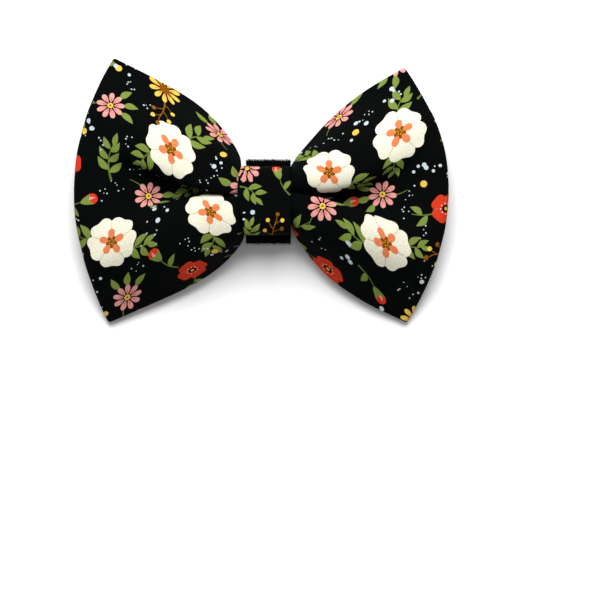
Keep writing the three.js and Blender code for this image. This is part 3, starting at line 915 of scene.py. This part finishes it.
# %% Materials of the tape, its pile and the hooks
def woven_tape(name, colour, rough, pitch):
    """A plain black tape with a fine rib."""
    material, add, links, shader = new_material(name)
    place = add("ShaderNodeTexCoord")
    spot = place.outputs["Object"]
    grain = add("ShaderNodeTexNoise", {"Vector": spot, "Scale": 900.0, "Detail": 3.0})
    ribs = add("ShaderNodeTexWave", {"Vector": spot, "Scale": pitch, "Distortion": 0.6})
    height = add("ShaderNodeMath", {0: ribs.outputs[1], 1: grain.outputs[0]}, operation="ADD")
    bump = add("ShaderNodeBump", {"Height": height.outputs[0], "Distance": 0.00006, "Strength": 0.6})
    mix = add("ShaderNodeMix", data_type="RGBA")
    links.new(grain.outputs[0], mix.inputs[0])
    mix.inputs[6].default_value = [0.6 * v for v in linear(colour)[:3]] + [1]
    mix.inputs[7].default_value = [1.5 * v for v in linear(colour)[:3]] + [1]
    links.new(mix.outputs[2], shader.inputs["Base Color"])
    links.new(bump.outputs[0], shader.inputs["Normal"])
    shader.inputs["Roughness"].default_value = rough
    shader.inputs["Specular IOR Level"].default_value = 0.02
    return material


tape_black = woven_tape("tape_weave", "040404", 0.9, 300.0)
pile_black = woven_tape("tape_pile", "040404", 1.0, 500.0)
pile_black.node_tree.nodes["Principled BSDF"].inputs["Sheen Weight"].default_value = 0.005
hook_black = woven_tape("hook_nylon", "101012", 0.5, 400.0)

# %% Put a piece at the strap's place
STRAP_PLACE = np.array([STRAP_SHIFT, -KNOT_DROP - STRAP_DROP, 0])


def plain_piece(name, points, faces, material, smooth=True):
    """A mesh object with one material, at the strap's place, attached to the root body."""
    mesh = bpy.data.meshes.new(name)
    mesh.from_pydata(in_frame(points + STRAP_PLACE).tolist(), [], faces)
    mesh.materials.append(material)
    mesh.polygons.foreach_set("use_smooth", [smooth] * len(mesh.polygons))
    mesh.update()
    piece = bpy.data.objects.new(name, mesh)
    bpy.context.scene.collection.objects.link(piece)
    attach(piece, "root")
    print(name, "has", sum(len(f) - 2 for f in faces), "triangles")
    return piece


# %% Sweep the tape
def tape_section(width, thickness, steps=5):
    """The tape's cross-section: flat faces and rounded selvages, as across and out offsets."""
    section = []
    for side in (1, -1):
        for k in range(steps + 1):
            angle = math.radians(side * 90 - 180 * k / steps)
            section.append((side * (width / 2 - thickness / 2) + thickness / 2 * math.cos(angle),
                            thickness / 2 * math.sin(angle)))
        for share in np.linspace(1, -1, 9)[1:-1]:
            section.append((share * side * (width / 2 - thickness / 2), -side * thickness / 2))
    return np.array(section)


def swept(line_points, outs, section, offset):
    """Points and faces of a section that is swept along a line, with closed ends."""
    points = []
    for (y, z), (ny, nz) in zip(line_points, outs):
        for across_by, out_by in section:
            reach = out_by + offset
            points.append((across_by, y + ny * reach, z + nz * reach))
    n, m = len(line_points), len(section)
    faces = []
    for r in range(n - 1):
        for k in range(m):
            a, b = r * m + k, r * m + (k + 1) % m
            faces.append((a, b, b + m, a + m))
    faces.append(tuple(range(m))[::-1])
    faces.append(tuple((n - 1) * m + k for k in range(m)))
    return np.array(points), faces


strap_section = tape_section(STRAP_WIDTH, TAPE)
tape_points, tape_faces = swept(strap_points, strap_out, strap_section, (TAPE - STRAP_PLY) / 2)
tape_faces = [face[::-1] for face in tape_faces]  # so that the faces look outwards
strap = plain_piece("strap_tape", tape_points, tape_faces, tape_black)
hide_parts("closure_strap")

# %% Grow the pile
PILE_PER_MM2, FIBRE = 12, 0.036  # how dense the pile is, and half a fibre's width in millimetres
TURN_SHARE, TURN_SPREAD = 0.24, 2.4  # the share of fibres gathered round the upper turn, and how widely


def pile(seed=5):
    """Short bent fibres on the tape's outer side, each a narrow ribbon of two quads."""
    rng = random.Random(seed)
    points, faces = [], []
    upper_turn = strap_run[np.argmax(strap_points[:, 0])]
    for _ in range(int(PILE_PER_MM2 * STRAP_WIDTH * strap_run[-1])):
        at, x = rng.uniform(0, strap_run[-1]), rng.uniform(-1, 1) * STRAP_WIDTH / 2
        if rng.random() < TURN_SHARE:
            at = rng.gauss(upper_turn, TURN_SPREAD)
        y, z = (np.interp(at, strap_run, strap_points[:, k]) for k in (0, 1))
        ny, nz = (np.interp(at, strap_run, strap_out[:, k]) for k in (0, 1))
        out = np.array([0, ny, nz])
        is_turn = abs(ny) > 0.3
        tall = 0.15 + 0.95 * rng.random() ** 2.2 if is_turn else rng.uniform(0.12, 0.28)
        base = np.array([x, y, z]) + out * (TAPE - STRAP_PLY / 2 - 0.05)
        lean = np.array([rng.gauss(0, 0.5), rng.gauss(0, 0.5) * nz, -rng.gauss(0, 0.5) * ny])
        turn = rng.uniform(0, math.pi)
        wide = np.array([math.cos(turn), math.sin(turn) * nz, -math.sin(turn) * ny]) * FIBRE
        start = len(points)
        for s, share in ((0, 1), (0.55, 1), (1, 0.4)):
            spot = base + out * tall * s + lean * tall * s * s
            for edge in (spot - wide * share, spot + wide * share):
                points.append((edge[0], edge[1], max(edge[2], 0.02)))
        faces += [(k, k + 1, k + 3, k + 2) for k in (start, start + 2)]
    return np.array(points), faces


pile_points, pile_faces = pile()
strap_pile = plain_piece("strap_pile", pile_points, pile_faces, pile_black)

# %% [markdown]
# ## The hook patch
#
# Between the strap's lapped ends lies a patch of hook tape: a thin base with rows of tiny bent hooks
# that point up into the pile. It only shows from the side, so each hook is a stalk and a bend.

# %% Build the patch and its hooks
PATCH_LENGTH, PATCH_WIDTH, PATCH_BASE, HOOK_PITCH = 17, 15, 0.4, 0.9
HOOK_CORNERS = ((-0.09, -0.07), (0.09, -0.07), (0.09, 0.07), (-0.09, 0.07))


def hook_patch():
    section = tape_section(PATCH_WIDTH, PATCH_BASE, 3)
    at = np.linspace(-PATCH_LENGTH / 2, PATCH_LENGTH / 2, 12)
    base_line = np.column_stack([at, np.full(len(at), PATCH_BOTTOM + PATCH_BASE / 2)])
    outs = np.tile((0.0, 1.0), (len(at), 1))
    return swept(base_line, outs, section, 0)


def hooks():
    points, faces = [], []
    rise = PATCH_PLY - PATCH_BASE
    profile = ((0, 0), (0, 0.62), (0.12, 0.9), (0.28, 1.0), (0.42, 0.86))
    columns, rows = int(PATCH_WIDTH / HOOK_PITCH) - 1, int(PATCH_LENGTH / HOOK_PITCH) - 1
    for i in range(columns):
        for j in range(rows):
            x, y = (i - (columns - 1) / 2) * HOOK_PITCH, (j - (rows - 1) / 2) * HOOK_PITCH
            ahead = 1 if (i + j) % 2 else -1
            start = len(points)
            for forward, up in profile:
                for corner_x, corner_y in HOOK_CORNERS:
                    points.append((x + corner_x, y + corner_y + ahead * forward,
                                   PATCH_BOTTOM + PATCH_BASE + up * rise))
            for level in range(len(profile) - 1):
                for k in range(4):
                    a, b = start + 4 * level + k, start + 4 * level + (k + 1) % 4
                    faces.append((a, b, b + 4, a + 4))
            faces.append(tuple(start + 4 * (len(profile) - 1) + k for k in range(4)))
    return np.array(points), faces


patch_points, patch_faces = hook_patch()
patch = plain_piece("hook_base", patch_points, patch_faces, hook_black)
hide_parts("hook_patch")
hook_points, hook_faces = hooks()
hook_rows = plain_piece("hook_rows", hook_points, hook_faces, hook_black, smooth=False)

# %% [markdown]

# %% [markdown]
# ## Floor, light and camera
#
# The bow tie lies on a white surface, seen from straight above. A large soft light stands beyond its
# upper edge and a pale sky fills in, so that the shadows are soft and fall towards the viewer's side.

# %% The floor
mesh = bpy.data.meshes.new("floor")
mesh.from_pydata([(-4, -4, 0), (4, -4, 0), (4, 4, 0), (-4, 4, 0)], [], [(0, 1, 2, 3)])
floor = bpy.data.objects.new("floor", mesh)
bpy.context.scene.collection.objects.link(floor)
paper, add, links, shader = new_material("white_paper")
shader.inputs["Base Color"].default_value = (0.9, 0.9, 0.9, 1)
shader.inputs["Roughness"].default_value = 0.9
mesh.materials.append(paper)

# %% The light
SKY, KEY_POWER = 0.36, 21.0
world = bpy.data.worlds.new("sky")
bpy.context.scene.world = world
world.use_nodes = True
background = world.node_tree.nodes["Background"]
background.inputs["Color"].default_value = (1, 1, 1, 1)
background.inputs["Strength"].default_value = SKY


def soft_light(name, place, size, power, aim=(0.0, 0.0, 0.0)):
    """A square area light that points at a spot."""
    data = bpy.data.lights.new(name, "AREA")
    data.shape, data.size, data.energy = "SQUARE", size, power
    lamp = bpy.data.objects.new(name, data)
    lamp.location = place
    lamp.rotation_euler = (Vector(aim) - Vector(place)).to_track_quat("-Z", "Y").to_euler()
    bpy.context.scene.collection.objects.link(lamp)
    return lamp


soft_light("key", place=(-0.02, 0.66, 0.92), size=0.8, power=KEY_POWER)

# %% The camera
PIXELS, PIXELS_PER_MM, FAR = 600, 2.8, 1.5
MIDDLE_PIXEL = (261.5, 190)  # where the frame's origin shows in the picture
BOW_LEVEL = 0.008  # the height at which the scale is exact
width = PIXELS / PIXELS_PER_MM / 1000
camera_data = bpy.data.cameras.new("camera")
camera = bpy.data.objects.new("camera", camera_data)
camera_data.sensor_width = 36
camera_data.lens = camera_data.sensor_width * (FAR - BOW_LEVEL) / width
camera.location = ((PIXELS / 2 - MIDDLE_PIXEL[0]) / PIXELS_PER_MM / 1000,
                   (MIDDLE_PIXEL[1] - PIXELS / 2) / PIXELS_PER_MM / 1000, FAR)
bpy.context.scene.collection.objects.link(camera)
bpy.context.scene.camera = camera
bpy.context.scene.view_settings.view_transform = "Standard"
